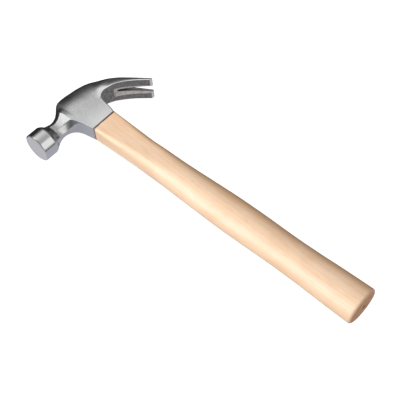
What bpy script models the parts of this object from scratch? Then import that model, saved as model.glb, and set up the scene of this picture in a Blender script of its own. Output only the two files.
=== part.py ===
"""Curved-claw hammer with a one-piece wooden handle.

Metres, +Z up. The hammer lies on its side:
  +X runs along the handle, from the head to the butt,
  +Y runs from the striking face to the claws,
  +Z is the normal of the upper cheek.
The origin is the centre of the striking face.

Pieces: hammer_head, handle, wood_wedge, steel_wedge_front, steel_wedge_rear.
"Front" is the side of the striking face (-Y) and "rear" the side of the claws (+Y).
The crown is the end of the head away from the handle (-X).
"""

import math

import bmesh
import bpy
from mathutils import Vector

MM = 0.001
SHARP_ANGLE = math.radians(30)  # edges that turn more than this are shaded sharp

# ---------------------------------------------------------------- dimensions, mm
# The design is laid out from the handle's axis at the socket mouth:
# x along the handle, y towards the claws. world() moves the origin to the face.

# Poll and neck
POLL_AXIS_X = -28.6
FACE_Y = -59.5
POLL_R = 14.25
FACE_CHAMFER = 1.2
POLL_BACK_Y = -46.0  # where the cylinder of the poll ends
OCTAGON_FLAT = math.tan(math.radians(22.5))  # half flat / apothem
NECK_CROWN_EXTRA = 0.14  # share by which the neck is thicker on the crown's side
NECK_CROWN_FROM, NECK_CROWN_TO = -43.0, -36.0  # y over which that share grows

# Half thickness of the head in z
CHEEK_FRONT = 8.2  # at the socket's front
CHEEK_FRONT_Y = -13.0
CHEEK_SLOPE = 0.034  # how fast the cheeks open towards the claws
CLAW_SPREAD = 2.8  # extra gained where the claws begin
CLAW_SPREAD_FROM, CLAW_SPREAD_TO = 6.0, 34.0
NECK_CREASE_Y = -20.5  # in front of this the neck draws in
NECK_WAIST = 0.3  # limit of the drawing in
NECK_WAIST_FADE = 9.0  # length over which it starts
NECK_WAIST_HALFWAY = 3.0  # distance from the crease that halves the limit

# Nail slot and the V groove that bevels its edges; y on the claws' inner face
SLOT_FROM = 36.2
SLOT_ROOT, SLOT_TIP = 1.1, 3.6  # half widths
SLOT_ROOT_START = 0.45  # share of the root's half width at the rounded start
SLOT_ROOT_RUN = 1.0  # the root reaches full width this far on
SLOT_SPANS = 10
SLOT_OVERCUT = 5.0  # beyond the claws' inner and outer faces
GROOVE_FROM = 34.0
GROOVE_HALF, GROOVE_DEPTH = 5.4, 2.7
GROOVE_START_HALF = GROOVE_HALF - 0.8
GROOVE_START_DEPTH = GROOVE_DEPTH / 2
GROOVE_SPANS = 11
GROOVE_OVERCUT = 3.0  # beyond the inner face
TIP_OVERCUT = 4.0  # past the claws' tips

# Eye: half sizes in y and z
EYE_MOUTH = (10.2, 5.6)
EYE_WAIST = (9.6, 3.9)
EYE_TOP = (10.4, 4.4)
EYE_WAIST_X = -22.0
EYE_TOP_X = -52.0
EYE_CUTTER_X = (3.0, 0.0, -11.0, EYE_WAIST_X, -37.0, -56.0)
EYE_CORNER = 3.6
EYE_CORNER_STEPS = 4
FIT_GAP = 0.3

# Handle
TONGUE_X = (-37.0, EYE_WAIST_X, -11.0, FIT_GAP)  # sections below the sloping top
TONGUE_TOP_X = -50.3
TONGUE_CORNER = 3.4
TOP_SLOPE = 0.09  # change of x per mm of y on the tops of tongue and wedges
HANDLE_CORNER_STEPS = 7
HANDLE_END = 291.3  # butt face
BUTT_ROUND = 2.6
BUTT_STEPS = 4
SHOULDER_TAPER = 0.045  # share of thickness gained at the shoulder's rear
SHOULDER_HALF_Y = 13.3  # y at which that share is reached
SHOULDER_FADE = 60.0  # x at which the taper has gone
MARK_R, MARK_DEPTH = 1.7, 1.6
MARK_BOTTOM_R = 0.2

# Kerf and wedges: half sizes as (crown end, bottom end)
TOP_CUT_X = -54.0  # kerf and pocket cutters start here, above the handle's top
KERF_DEPTH = 31.0
KERF_HALF_Y = 14.0
KERF_HALF_Z = (2.06, 0.8)
WEDGE_TOP_X = -50.2
WEDGE_LENGTH = 28.0
WEDGE_INSET = 1.2  # from the eye's ends in y
WEDGE_HALF_Z = (1.6, 0.5)
STEEL_TOP_X = -50.35
STEEL_Y = 5.2  # the steel wedges stand this far from the handle's axis
STEEL_HALF_Y = (1.0, 0.35)
STEEL_HALF_Z = (3.2, 2.7)
STEEL_LENGTH = 15.0
POCKET_TOP_EXTRA = 0.2  # added to the pocket's half size in y at the crown end

# ---------------------------------------------------------------- section tables
# Poll and neck: y, radius, roundness (1 = circle, 0 = octagon)
POLL_ROWS = [
    (FACE_Y, POLL_R - FACE_CHAMFER, 1.0),
    (FACE_Y + FACE_CHAMFER * 0.85, POLL_R - 0.12, 1.0),
    (FACE_Y + FACE_CHAMFER * 1.25, POLL_R, 1.0),
    (POLL_BACK_Y, POLL_R, 1.0),
    (POLL_BACK_Y + 0.5, POLL_R - 0.3, 1.0),
    (-44.0, 13.2, 1.0),
    (-42.0, 11.75, 0.8),
    (-40.0, 10.65, 0.4),
    (-38.0, 9.65, 0.1),
    (-36.0, 8.95, 0.0),
    (-34.0, 8.5, 0.0),
]

# Rest of the neck, body and claws. Each row is one section:
#  inner x, y        profile point on the handle side
#  cheek start x, y  where the flat cheek begins
#  cheek end x, y    where it ends and the crown's edge begins
#  outer x, y        profile point on the crown
#  inner drop        how far the inner wall's edge lies below the cheek
#  outer drop        the same at the crown
#  roundness         of the crown's edge (0 = straight chamfer, 1 = rounded)
BODY_ROWS = [
    (-20.2, -32, -25.0, -32, -32.2, -32, -38.2, -32, 4.6, 4.6, 0.0),
    (-19.8, -28, -25.0, -27.6, -32.5, -28, -39.1, -28.2, 4.4, 4.6, 0.1),
    (-19.1, -23.8, -24.7, -23, -33.3, -24.6, -40.6, -24.8, 3.6, 4.6, 0.3),
    (-18.0, -20.3, -23.8, -19.3, -34.6, -21.2, -43.2, -21.2, 2.4, 4.7, 0.5),
    (-16.2, -17.8, -20.4, -17.4, -36.6, -18.2, -46.2, -18.0, 1.3, 4.5, 0.7),
    (-13.4, -16.2, -14.4, -15.6, -39.0, -14.8, -48.9, -15.2, 0.6, 4.2, 0.9),
    (-10.0, -15.2, -10.1, -14.6, -41.0, -11.6, -50.6, -12.4, 0.6, 4.0, 1.0),
    (-6.5, -14.5, -6.6, -13.9, -42.0, -8.6, -51.2, -9.6, 0.6, 4.0, 1.0),
    (-3.2, -13.9, -3.3, -13.3, -42.5, -5.8, -51.4, -6.8, 0.6, 4.0, 1.0),
    (0.0, -13.4, -0.6, -12.8, -42.7, -3.0, -51.3, -4.0, 0.6, 4.0, 1.0),
    (0.0, -7.0, -0.6, -6.7, -42.6, 0.5, -51.0, 0.0, 0.6, 4.0, 1.0),
    (0.0, 0.0, -0.6, 0.0, -42.2, 4.0, -50.4, 4.0, 0.6, 4.0, 1.0),
    (0.0, 7.0, -0.6, 6.7, -41.4, 8.0, -49.9, 8.4, 0.6, 4.0, 1.0),
    (0.0, 13.9, -0.5, 12.7, -40.4, 12.0, -49.2, 12.7, 1.1, 4.0, 1.0),
    (-4.0, 15.0, -4.0, 13.9, -39.2, 15.4, -48.2, 16.7, 1.0, 4.1, 1.0),
    (-9.0, 15.9, -9.0, 14.8, -37.9, 18.5, -47.1, 20.5, 1.0, 4.2, 1.0),
    (-14.5, 16.5, -14.5, 15.5, -36.4, 21.4, -45.5, 24.0, 0.9, 4.3, 1.0),
    (-19.4, 17.1, -19.6, 16.1, -34.9, 24.2, -43.4, 27.1, 0.9, 4.4, 1.0),
    (-22.4, 18.3, -23.1, 17.5, -33.4, 27.0, -41.0, 30.1, 0.8, 4.4, 1.0),
    (-24.0, 20.7, -24.8, 20.5, -31.7, 29.8, -38.4, 33.0, 0.7, 4.1, 1.0),
    (-24.2, 24.0, -24.9, 24.3, -29.7, 32.7, -35.3, 35.9, 0.7, 3.7, 1.0),
    (-23.4, 28.0, -24.1, 28.4, -27.4, 35.7, -32.0, 39.1, 0.7, 3.3, 1.0),
    (-22.0, 32.0, -22.6, 32.5, -24.8, 38.8, -28.5, 42.0, 0.7, 2.9, 1.0),
    (-19.9, 36.0, -20.5, 36.5, -22.1, 41.9, -25.1, 44.8, 0.7, 2.5, 1.0),
    (-17.1, 40.1, -17.6, 40.6, -19.0, 45.0, -21.2, 47.7, 0.7, 2.2, 1.0),
    (-13.9, 44.0, -14.4, 44.5, -15.6, 48.1, -17.2, 50.4, 0.7, 1.9, 1.0),
    (-10.8, 47.4, -11.3, 47.9, -12.3, 50.9, -13.5, 53.0, 0.7, 1.7, 1.0),
    (-7.3, 50.8, -7.8, 51.3, -8.7, 53.7, -9.6, 55.6, 0.7, 1.5, 1.0),
    (-3.8, 54.0, -4.3, 54.5, -5.0, 56.4, -5.7, 58.1, 0.6, 1.3, 1.0),
    (0.1, 57.5, -0.4, 58.0, -1.0, 59.4, -1.6, 60.9, 0.6, 1.2, 1.0),
    (4.3, 61.1, 3.8, 61.6, 3.2, 62.6, 2.6, 63.6, 0.6, 1.1, 1.0),
]
CLAW_FIRST_ROW = 18  # from this row on, the sections belong to the claws
CLAW_STEPS = 4  # steps per row on the line that the slot and groove follow

# Points along each part of a head section's upper half, from inner to outer
INNER_WALL, INNER_EDGE, CHEEK, CROWN_EDGE, CROWN_WALL = 2, 4, 6, 6, 2

# Grip: x, middle in y, half size in y, half size in z, corner radius
GRIP_ROWS = [
    (FIT_GAP, 0.25, 13.55, 8.75, 1.4),
    (2.0, 0.25, 13.6, 8.8, 1.6),
    (14.0, 0.25, 13.6, 9.1, 2.2),
    (26.0, 0.2, 13.5, 9.5, 3.2),
    (38.0, 0.1, 13.4, 9.9, 4.5),
    (50.0, 0.0, 13.4, 10.3, 6.0),
    (66.0, 0.0, 13.65, 10.9, 7.6),
    (84.0, -0.1, 14.3, 11.4, 9.0),
    (104.0, -0.2, 15.2, 11.9, 10.6),
    (128.0, -0.2, 16.1, 12.2, 11.7),
    (152.0, -0.2, 16.75, 12.4, 12.2),
    (180.0, -0.2, 16.65, 12.3, 12.2),
    (212.0, -0.4, 16.1, 12.1, 12.0),
    (236.0, -0.55, 16.35, 12.3, 12.2),
    (262.0, -0.7, 17.2, 12.7, 12.6),
    (HANDLE_END - BUTT_ROUND, -0.9, 17.8, 13.0, 12.9),
]
GRIP_STEPS = [1] * 4 + [2] * (len(GRIP_ROWS) - 5)


# ---------------------------------------------------------------- geometry helpers
def world(x, y, z):
    return Vector(((x - POLL_AXIS_X) * MM, (y - FACE_Y) * MM, z * MM))


def lerp(a, b, t):
    return a + (b - a) * t


def smooth(low, high, value):
    t = min(1.0, max(0.0, (value - low) / (high - low)))
    return t * t * (3 - 2 * t)


def spline(points, steps):
    """Smooth line through the points: a cubic per span, with chord-length tangents."""
    spans = list(zip(points, points[1:]))
    chords = [math.dist(a, b) for a, b in spans]
    slopes = [[(q - p) / chord for p, q in zip(a, b)] for (a, b), chord in zip(spans, chords)]
    tangents = [slopes[0]]
    for i in range(1, len(spans)):
        before, after = chords[i - 1], chords[i]
        tangents.append([
            (p * after + q * before) / (before + after)
            for p, q in zip(slopes[i - 1], slopes[i])
        ])
    tangents.append(slopes[-1])

    line = []
    for i, (start, end) in enumerate(spans):
        for step in range(steps[i]):
            t = step / steps[i]
            from_start = 2 * t**3 - 3 * t**2 + 1
            from_end = -2 * t**3 + 3 * t**2
            leave = (t**3 - 2 * t**2 + t) * chords[i]
            arrive = (t**3 - t**2) * chords[i]
            line.append(tuple(
                from_start * a + leave * ta + from_end * b + arrive * tb
                for a, ta, b, tb in zip(start, tangents[i], end, tangents[i + 1])
            ))
    line.append(tuple(points[-1]))
    return line


def loft(rings):
    """A closed skin over rings of equal length, capped flat at both ends."""
    bm = bmesh.new()
    rows = [[bm.verts.new(point) for point in ring] for ring in rings]
    count = len(rows[0])
    for a, b in zip(rows, rows[1:]):
        for i in range(count):
            j = (i + 1) % count
            bm.faces.new((a[i], a[j], b[j], b[i]))
    bm.faces.new(list(reversed(rows[0])))
    bm.faces.new(rows[-1])
    bmesh.ops.recalc_face_normals(bm, faces=bm.faces)
    return bm


def loft_mm(rings):
    """Loft over rings given in the design's own x, y, z."""
    return loft([[world(*point) for point in ring] for ring in rings])


def rounded_section(x, half_y, half_z, corner, steps, slope=0.0):
    """Rounded rectangle in y and z at x; x changes by slope for each mm of y."""
    ring = []
    for quarter, (sign_y, sign_z) in enumerate(((1, 1), (-1, 1), (-1, -1), (1, -1))):
        for k in range(steps + 1):
            angle = math.radians(90 * quarter + 90 * k / steps)
            y = sign_y * (half_y - corner) + corner * math.cos(angle)
            z = sign_z * (half_z - corner) + corner * math.sin(angle)
            ring.append((x + slope * y, y, z))
    return ring


def taper_block(x_top, x_bottom, half_y, half_z, slope=0.0, y_middle=0.0):
    """Block from the crown into the eye; half sizes are (top, bottom), slope tilts the top."""
    bm = bmesh.new()
    bmesh.ops.create_cube(bm, size=2.0)
    for vert in bm.verts:
        end = 0 if vert.co.x < 0 else 1
        y = vert.co.y * half_y[end]
        z = vert.co.z * half_z[end]
        x = x_bottom if end else x_top + slope * y
        vert.co = world(x, y + y_middle, z)
    return bm


# ---------------------------------------------------------------- scene helpers
def new_collection(name):
    collection = bpy.data.collections.new(name)
    bpy.context.scene.collection.children.link(collection)
    return collection


def material(name, colour, roughness, metallic):
    mat = bpy.data.materials.new(name)
    mat.use_nodes = True
    shader = mat.node_tree.nodes["Principled BSDF"]
    shader.inputs["Base Color"].default_value = (*colour, 1.0)
    shader.inputs["Roughness"].default_value = roughness
    shader.inputs["Metallic"].default_value = metallic
    mat.diffuse_color = (*colour, 1.0)
    return mat


def add_object(name, bm, collection):
    bmesh.ops.remove_doubles(bm, verts=bm.verts, dist=1e-6)
    mesh = bpy.data.meshes.new(name)
    bm.to_mesh(mesh)
    bm.free()
    mesh.shade_smooth()
    mesh.set_sharp_from_angle(angle=SHARP_ANGLE)
    obj = bpy.data.objects.new(name, mesh)
    collection.objects.link(obj)
    return obj


def add_part(name, bm, mat):
    obj = add_object(name, bm, parts)
    obj.data.materials.append(mat)
    return obj


def add_cutter(name, bm):
    obj = add_object(name, bm, cutters)
    obj.hide_render = True
    obj.display_type = "WIRE"
    return obj


def cut(target, cutter):
    mod = target.modifiers.new("cut_" + cutter.name, "BOOLEAN")
    mod.operation = "DIFFERENCE"
    mod.solver = "EXACT"
    mod.object = cutter


# ---------------------------------------------------------------- head
# The head is one skin of sections. Each section runs from the handle side of
# the profile (inner) to the crown side (outer), and back underneath.
def half_thickness(y):
    """Half thickness in z: the neck's waist, the flat cheek, then the spread of the claws."""
    cheek = CHEEK_FRONT + CHEEK_SLOPE * (max(y, NECK_CREASE_Y) - CHEEK_FRONT_Y)
    spread = CLAW_SPREAD * smooth(CLAW_SPREAD_FROM, CLAW_SPREAD_TO, y)
    ahead = max(0.0, NECK_CREASE_Y - y)
    waist = NECK_WAIST * smooth(0, NECK_WAIST_FADE, ahead) * ahead / (ahead + NECK_WAIST_HALFWAY)
    return cheek + spread - waist


def mirrored(half):
    """Full ring from the half with z >= 0, whose first and last points lie on z = 0."""
    return half + [(x, y, -z) for x, y, z in reversed(half[1:-1])]


def poll_section(y, radius, roundness):
    flat = radius * OCTAGON_FLAT
    corners = [
        (radius, 0), (radius, flat), (flat, radius),
        (-flat, radius), (-radius, flat), (-radius, 0),
    ]
    counts = (INNER_WALL, INNER_EDGE, CHEEK, CROWN_EDGE, CROWN_WALL)
    octagon = []
    for (x0, z0), (x1, z1), count in zip(corners, corners[1:], counts):
        for k in range(count):
            octagon.append((lerp(x0, x1, k / count), lerp(z0, z1, k / count)))
    octagon.append(corners[-1])

    crown_scale = 1 + NECK_CROWN_EXTRA * smooth(NECK_CROWN_FROM, NECK_CROWN_TO, y)
    half = []
    for x, z in octagon:
        to_circle = lerp(1, radius / math.hypot(x, z), roundness)
        side_scale = crown_scale if x < 0 else 1
        half.append((POLL_AXIS_X + x * to_circle * side_scale, y, z * to_circle))
    return mirrored(half)


def body_section(row):
    (inner_x, inner_y, start_x, start_y, end_x, end_y, outer_x, outer_y,
     inner_drop, outer_drop, roundness) = row
    start_z, end_z = half_thickness(start_y), half_thickness(end_y)
    inner_z, outer_z = start_z - inner_drop, end_z - outer_drop
    half = []
    for k in range(INNER_WALL):
        half.append((inner_x, inner_y, inner_z * k / INNER_WALL))
    for k in range(INNER_EDGE):
        t = k / INNER_EDGE
        half.append((
            lerp(inner_x, start_x, t),
            lerp(inner_y, start_y, t),
            lerp(inner_z, start_z, t),
        ))
    for k in range(CHEEK):
        y = lerp(start_y, end_y, k / CHEEK)
        half.append((lerp(start_x, end_x, k / CHEEK), y, half_thickness(y)))
    for k in range(CROWN_EDGE):
        t = k / CROWN_EDGE
        angle = t * math.pi / 2
        out = lerp(t, math.sin(angle), roundness)
        down = lerp(t, 1 - math.cos(angle), roundness)
        half.append((
            lerp(end_x, outer_x, out),
            lerp(end_y, outer_y, out),
            lerp(end_z, outer_z, down),
        ))
    for k in range(CROWN_WALL + 1):
        half.append((outer_x, outer_y, outer_z * (1 - k / CROWN_WALL)))
    return mirrored(half)


def make_head():
    rings = [poll_section(*row) for row in POLL_ROWS]
    rings += [body_section(row) for row in BODY_ROWS]
    mat = material("forged_steel", colour=(0.56, 0.56, 0.57), roughness=0.32, metallic=1.0)
    return add_part("hammer_head", loft_mm(rings), mat)


def eye_half_sizes(x):
    """The eye narrows from the socket mouth to a waist, then opens to the crown."""
    x = min(0.0, x)
    if x > EYE_WAIST_X:
        t = x / EYE_WAIST_X
        start, end = EYE_MOUTH, EYE_WAIST
    else:
        t = (x - EYE_WAIST_X) / (EYE_TOP_X - EYE_WAIST_X)
        start, end = EYE_WAIST, EYE_TOP
    return lerp(start[0], end[0], t), lerp(start[1], end[1], t)


def eye_cutter():
    rings = [
        rounded_section(x, *eye_half_sizes(x), EYE_CORNER, EYE_CORNER_STEPS)
        for x in EYE_CUTTER_X
    ]
    return add_cutter("eye_cutter", loft_mm(rings))


def claw_line(first_y, spans):
    """Points (x, y, through) on the claws' inner face, from first_y to past the tips.

    through is the vector from the inner face to the outer face.
    """
    profile = [(row[0], row[1], row[6], row[7]) for row in BODY_ROWS[CLAW_FIRST_ROW:]]
    rows = spline(profile, [CLAW_STEPS] * (len(profile) - 1))
    tip_y = profile[-1][1]
    line = []
    for k in range(spans + 1):
        y = lerp(first_y, tip_y, k / spans)
        for a, b in zip(rows, rows[1:]):
            if a[1] <= y <= b[1]:
                t = (y - a[1]) / (b[1] - a[1])
                x, outer_x, outer_y = (lerp(a[i], b[i], t) for i in (0, 2, 3))
                line.append((x, y, Vector((outer_x - x, outer_y - y))))
                break
    (x0, y0, _), (x1, y1, through) = line[-2:]
    step = Vector((x1 - x0, y1 - y0)).normalized() * TIP_OVERCUT
    line.append((x1 + step.x, y1 + step.y, through))
    return line


def claw_ring(x, y, through, corners):
    """Ring across the claws; corners are (depth below the inner face, z)."""
    direction = through.normalized()
    return [world(x + direction.x * depth, y + direction.y * depth, z) for depth, z in corners]


def slot_ring(x, y, through, half):
    near, far = -SLOT_OVERCUT, through.length + SLOT_OVERCUT
    return claw_ring(x, y, through, ((near, -half), (near, half), (far, half), (far, -half)))


def slot_cutter():
    """The nail slot: a V that opens towards the tips, cut right through the claws."""
    line = claw_line(SLOT_FROM, SLOT_SPANS)
    (x, y, through), (next_x, next_y, _) = line[:2]
    # two rings at the root round it off
    t = SLOT_ROOT_RUN / max(1.0, math.hypot(next_x - x, next_y - y))
    rings = [
        slot_ring(x, y, through, SLOT_ROOT_START * SLOT_ROOT),
        slot_ring(lerp(x, next_x, t), lerp(y, next_y, t), through, SLOT_ROOT),
    ]
    for i, point in enumerate(line[1:], start=1):
        rings.append(slot_ring(*point, lerp(SLOT_ROOT, SLOT_TIP, i / SLOT_SPANS)))
    return add_cutter("slot_cutter", loft(rings))


def groove_cutter():
    """Shallow V groove along the claws' inner face. It starts abruptly at the root."""
    rings = []
    for i, point in enumerate(claw_line(GROOVE_FROM, GROOVE_SPANS)):
        half, depth = GROOVE_HALF, GROOVE_DEPTH
        if i == 0:
            half, depth = GROOVE_START_HALF, GROOVE_START_DEPTH
        wide = half + GROOVE_OVERCUT * half / depth
        corners = ((-GROOVE_OVERCUT, -wide), (-GROOVE_OVERCUT, wide), (depth, 0.0))
        rings.append(claw_ring(*point, corners))
    return add_cutter("groove_cutter", loft(rings))


# ---------------------------------------------------------------- handle
def tongue_section(x, slope=0.0):
    half_y, half_z = eye_half_sizes(x)
    return rounded_section(
        x, half_y - FIT_GAP, half_z - FIT_GAP, TONGUE_CORNER, HANDLE_CORNER_STEPS, slope
    )


def oval_section(x, middle, half_y, half_z, corner):
    """From a rounded rectangle (small corner) to an oval (corner equal to half_z)."""
    oval_share = smooth(0.6, 1.0, corner / half_z)
    ring = []
    for _, y, z in rounded_section(x, half_y, half_z, corner, HANDLE_CORNER_STEPS):
        angle = math.atan2(z / half_z, y / half_y)
        ring.append((
            x,
            middle + lerp(y, half_y * math.cos(angle), oval_share),
            lerp(z, half_z * math.sin(angle), oval_share),
        ))
    return ring


def taper_with_head(ring):
    """The shoulder follows the socket, which is thinner at its front than at its rear."""
    out = []
    for x, y, z in ring:
        fade = 1 - smooth(0.0, SHOULDER_FADE, x)
        out.append((x, y, z * (1 + SHOULDER_TAPER * fade * y / SHOULDER_HALF_Y)))
    return out


def make_handle(mat):
    rings = [tongue_section(TONGUE_TOP_X, TOP_SLOPE)]
    rings += [tongue_section(x) for x in TONGUE_X]
    rings += [taper_with_head(oval_section(*row)) for row in spline(GRIP_ROWS, GRIP_STEPS)]
    x, middle, half_y, half_z, corner = GRIP_ROWS[-1]
    for k in range(1, BUTT_STEPS + 1):  # the butt's rounded edge
        angle = math.radians(90 * k / BUTT_STEPS)
        inset = BUTT_ROUND * (1 - math.cos(angle))
        rings.append(oval_section(
            x + BUTT_ROUND * math.sin(angle),
            middle,
            half_y - inset,
            half_z - inset,
            corner - inset,
        ))
    return add_part("handle", loft_mm(rings), mat)


def centre_mark_cutter():
    """Small cone left by the lathe centre; its middle lies in the butt face."""
    bm = bmesh.new()
    bmesh.ops.create_cone(
        bm,
        cap_ends=True,
        segments=20,
        radius1=MARK_BOTTOM_R * MM,
        radius2=(MARK_R * 2 - MARK_BOTTOM_R) * MM,
        depth=2 * MARK_DEPTH * MM,
    )
    obj = add_cutter("centre_mark_cutter", bm)
    obj.rotation_euler = (0.0, math.radians(90), 0.0)
    obj.location = world(HANDLE_END, 0.0, 0.0)
    return obj


def kerf_cutter():
    bottom = WEDGE_TOP_X + KERF_DEPTH
    bm = taper_block(TOP_CUT_X, bottom, (KERF_HALF_Y, KERF_HALF_Y), KERF_HALF_Z)
    return add_cutter("kerf_cutter", bm)


# ---------------------------------------------------------------- wedges
def make_wooden_wedge(mat):
    half_y = (EYE_TOP[0] - WEDGE_INSET, EYE_WAIST[0] - WEDGE_INSET)
    bottom = WEDGE_TOP_X + WEDGE_LENGTH
    bm = taper_block(WEDGE_TOP_X, bottom, half_y, WEDGE_HALF_Z, TOP_SLOPE)
    return add_part("wood_wedge", bm, mat)


def make_steel_wedge(end, y, mat):
    top = STEEL_TOP_X + TOP_SLOPE * y
    bm = taper_block(top, top + STEEL_LENGTH, STEEL_HALF_Y, STEEL_HALF_Z, TOP_SLOPE, y)
    return add_part("steel_wedge_" + end, bm, mat)


def steel_pocket(end, y):
    """Room for a steel wedge in the handle and the wooden wedge."""
    bottom = STEEL_TOP_X + TOP_SLOPE * y + STEEL_LENGTH + FIT_GAP
    half_y = (STEEL_HALF_Y[0] + FIT_GAP + POCKET_TOP_EXTRA, STEEL_HALF_Y[1] + FIT_GAP)
    half_z = [half + FIT_GAP for half in STEEL_HALF_Z]
    bm = taper_block(TOP_CUT_X, bottom, half_y, half_z, y_middle=y)
    return add_cutter("pocket_" + end, bm)


# ---------------------------------------------------------------- assembly
for old in list(bpy.data.objects):
    bpy.data.objects.remove(old, do_unlink=True)

parts = new_collection("claw_hammer")
cutters = new_collection("cutters")

head = make_head()
cut(head, eye_cutter())
cut(head, groove_cutter())
cut(head, slot_cutter())

handle = make_handle(
    material("handle_wood", colour=(0.80, 0.58, 0.36), roughness=0.50, metallic=0.0)
)
cut(handle, kerf_cutter())
cut(handle, centre_mark_cutter())

wooden_wedge = make_wooden_wedge(
    material("wedge_wood", colour=(0.55, 0.36, 0.20), roughness=0.60, metallic=0.0)
)
wedge_steel = material("wedge_steel", colour=(0.45, 0.45, 0.46), roughness=0.40, metallic=1.0)
for end, y in (("front", -STEEL_Y), ("rear", STEEL_Y)):
    make_steel_wedge(end, y, wedge_steel)
    pocket = steel_pocket(end, y)
    cut(handle, pocket)
    cut(wooden_wedge, pocket)
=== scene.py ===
"""Looks of a claw hammer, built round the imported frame: surfaces, materials, studio and camera.

The hammer lies on its side: +X along the handle to the butt, +Y from the striking face to
the claws, +Z up. The crown of the head is its -X side.
"""

import math

import bmesh
import bpy
from mathutils import Matrix, Vector, noise

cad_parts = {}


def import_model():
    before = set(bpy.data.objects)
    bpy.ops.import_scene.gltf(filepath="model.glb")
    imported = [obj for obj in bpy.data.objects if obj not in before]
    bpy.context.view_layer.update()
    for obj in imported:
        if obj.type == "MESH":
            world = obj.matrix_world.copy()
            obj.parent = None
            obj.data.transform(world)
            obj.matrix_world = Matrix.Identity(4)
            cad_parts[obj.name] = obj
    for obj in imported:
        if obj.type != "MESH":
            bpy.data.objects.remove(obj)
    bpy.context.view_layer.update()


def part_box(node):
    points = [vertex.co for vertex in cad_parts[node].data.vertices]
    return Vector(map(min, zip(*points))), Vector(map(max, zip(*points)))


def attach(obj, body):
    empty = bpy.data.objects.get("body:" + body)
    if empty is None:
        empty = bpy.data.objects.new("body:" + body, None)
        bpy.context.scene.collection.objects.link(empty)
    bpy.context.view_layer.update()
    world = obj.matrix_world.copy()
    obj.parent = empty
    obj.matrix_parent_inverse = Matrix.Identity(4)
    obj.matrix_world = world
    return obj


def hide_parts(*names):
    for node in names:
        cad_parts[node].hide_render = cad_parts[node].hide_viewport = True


MM = 0.001

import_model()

# ---------------------------------------------------------------- design dimensions, mm
# Measured from the handle's axis at the socket mouth: x along the handle, y to the claws.
POLL_AXIS_X = -28.6
FACE_Y = -59.5
FACE_CROWN = 0.22  # the striking face is very slightly domed
POLL_R = 14.25
FACE_RIM_R = POLL_R - 1.2
FACE_BEVEL_END = (-58.42, POLL_R - 0.06)  # y, radius
BARREL_START_Y = -57.8
POLL_BACK_Y = -46.0
NECK_FLAT = math.tan(math.radians(22.5))  # half side of an octagon, per unit of its radius

CHEEK_FRONT, CHEEK_FRONT_Y = 8.2, -13.0  # half thickness of the cheek, and where
CHEEK_SLOPE = 0.034
CREASE_Y = -18.8  # the neck meets the cheek here
WAIST_DROP, WAIST_REACH = 1.75, 8.5  # how far, and how slowly, the neck dips below the cheek
CLAW_SPREAD, CLAW_SPREAD_FROM, CLAW_SPREAD_TO = 2.4, 14.0, 44.0

SLOT_ROOT, SLOT_TIP = 1.1, 3.6  # half widths
GROOVE_HALF, GROOVE_DEPTH = 5.4, 2.7
GROOVE_FROM, SLOT_FROM, TIP_AT = 34.0, 36.2, 61.1  # places along y

EYE_MOUTH, EYE_WAIST, EYE_TOP = (10.2, 5.6), (9.6, 3.9), (10.4, 4.4)  # half sizes in y, z
EYE_WAIST_X, EYE_TOP_X = -22.0, -52.0
FIT_GAP = 0.3

HANDLE_END = 291.3
BUTT_ROUND = 2.6
CENTRE_MARK_R, CENTRE_MARK_DEPTH = 1.7, 1.6

# The wedges taper from the crown into the eye: pairs give the half size there and below.
CROWN_TILT = 0.09  # rise in x per unit of y of the tongue's and wedges' ends
CUT_ABOVE_X = -54.0  # kerf and pockets are cut from here, clear of the crown
WOOD_TOP_X, STEEL_TOP_X = -50.2, -50.35
KERF_DEPTH, KERF_HALF_Y, KERF_HALF_Z = 31.0, (14.0, 14.0), (1.9 + 0.16, 0.8)
WEDGE_LENGTH, WEDGE_HALF_Z = 28.0, (1.6, 0.5)
WEDGE_HALF_Y = (EYE_TOP[0] - 1.2, EYE_WAIST[0] - 1.2)
STEEL_LENGTH, STEEL_HALF_Y, STEEL_HALF_Z = 15.0, (1.0, 0.35), (3.2, 3.2 - 0.5)
STEEL_Y = 5.2  # each steel wedge's distance from the middle
MUSHROOM_DEPTH, MUSHROOM_HEIGHT, MUSHROOM_GRAIN = 1.2, 0.10, 900.0

EDGE = 0.45  # how far each edge's rounding reaches along its faces
HEAD_SHARP, HANDLE_SHARP = 32.0, 40.0  # edges above these angles, in degrees, shade sharp

# The design's zero in the frame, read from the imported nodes' own boxes.
head_lo, head_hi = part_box("hammer_head")
ZERO = Vector(
    (
        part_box("handle")[1].x - HANDLE_END * MM,
        head_lo.y - FACE_Y * MM,
        (head_lo.z + head_hi.z) / 2,
    )
)


def world(x, y, z):
    return Vector((ZERO.x + x * MM, ZERO.y + y * MM, ZERO.z + z * MM))


def lerp(start, end, share):
    return start + (end - start) * share


def mix(start, end, share):
    return tuple(lerp(a, b, share) for a, b in zip(start, end))


def smooth(low, high, value):
    share = min(1.0, max(0.0, (value - low) / (high - low)))
    return share * share * (3 - 2 * share)


def round_corner(start, corner, end, count):
    """Points from start towards end, without end itself, rounding the corner."""
    shares = [k / count for k in range(count)]
    return [mix(mix(start, corner, s), mix(corner, end, s), s) for s in shares]


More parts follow.
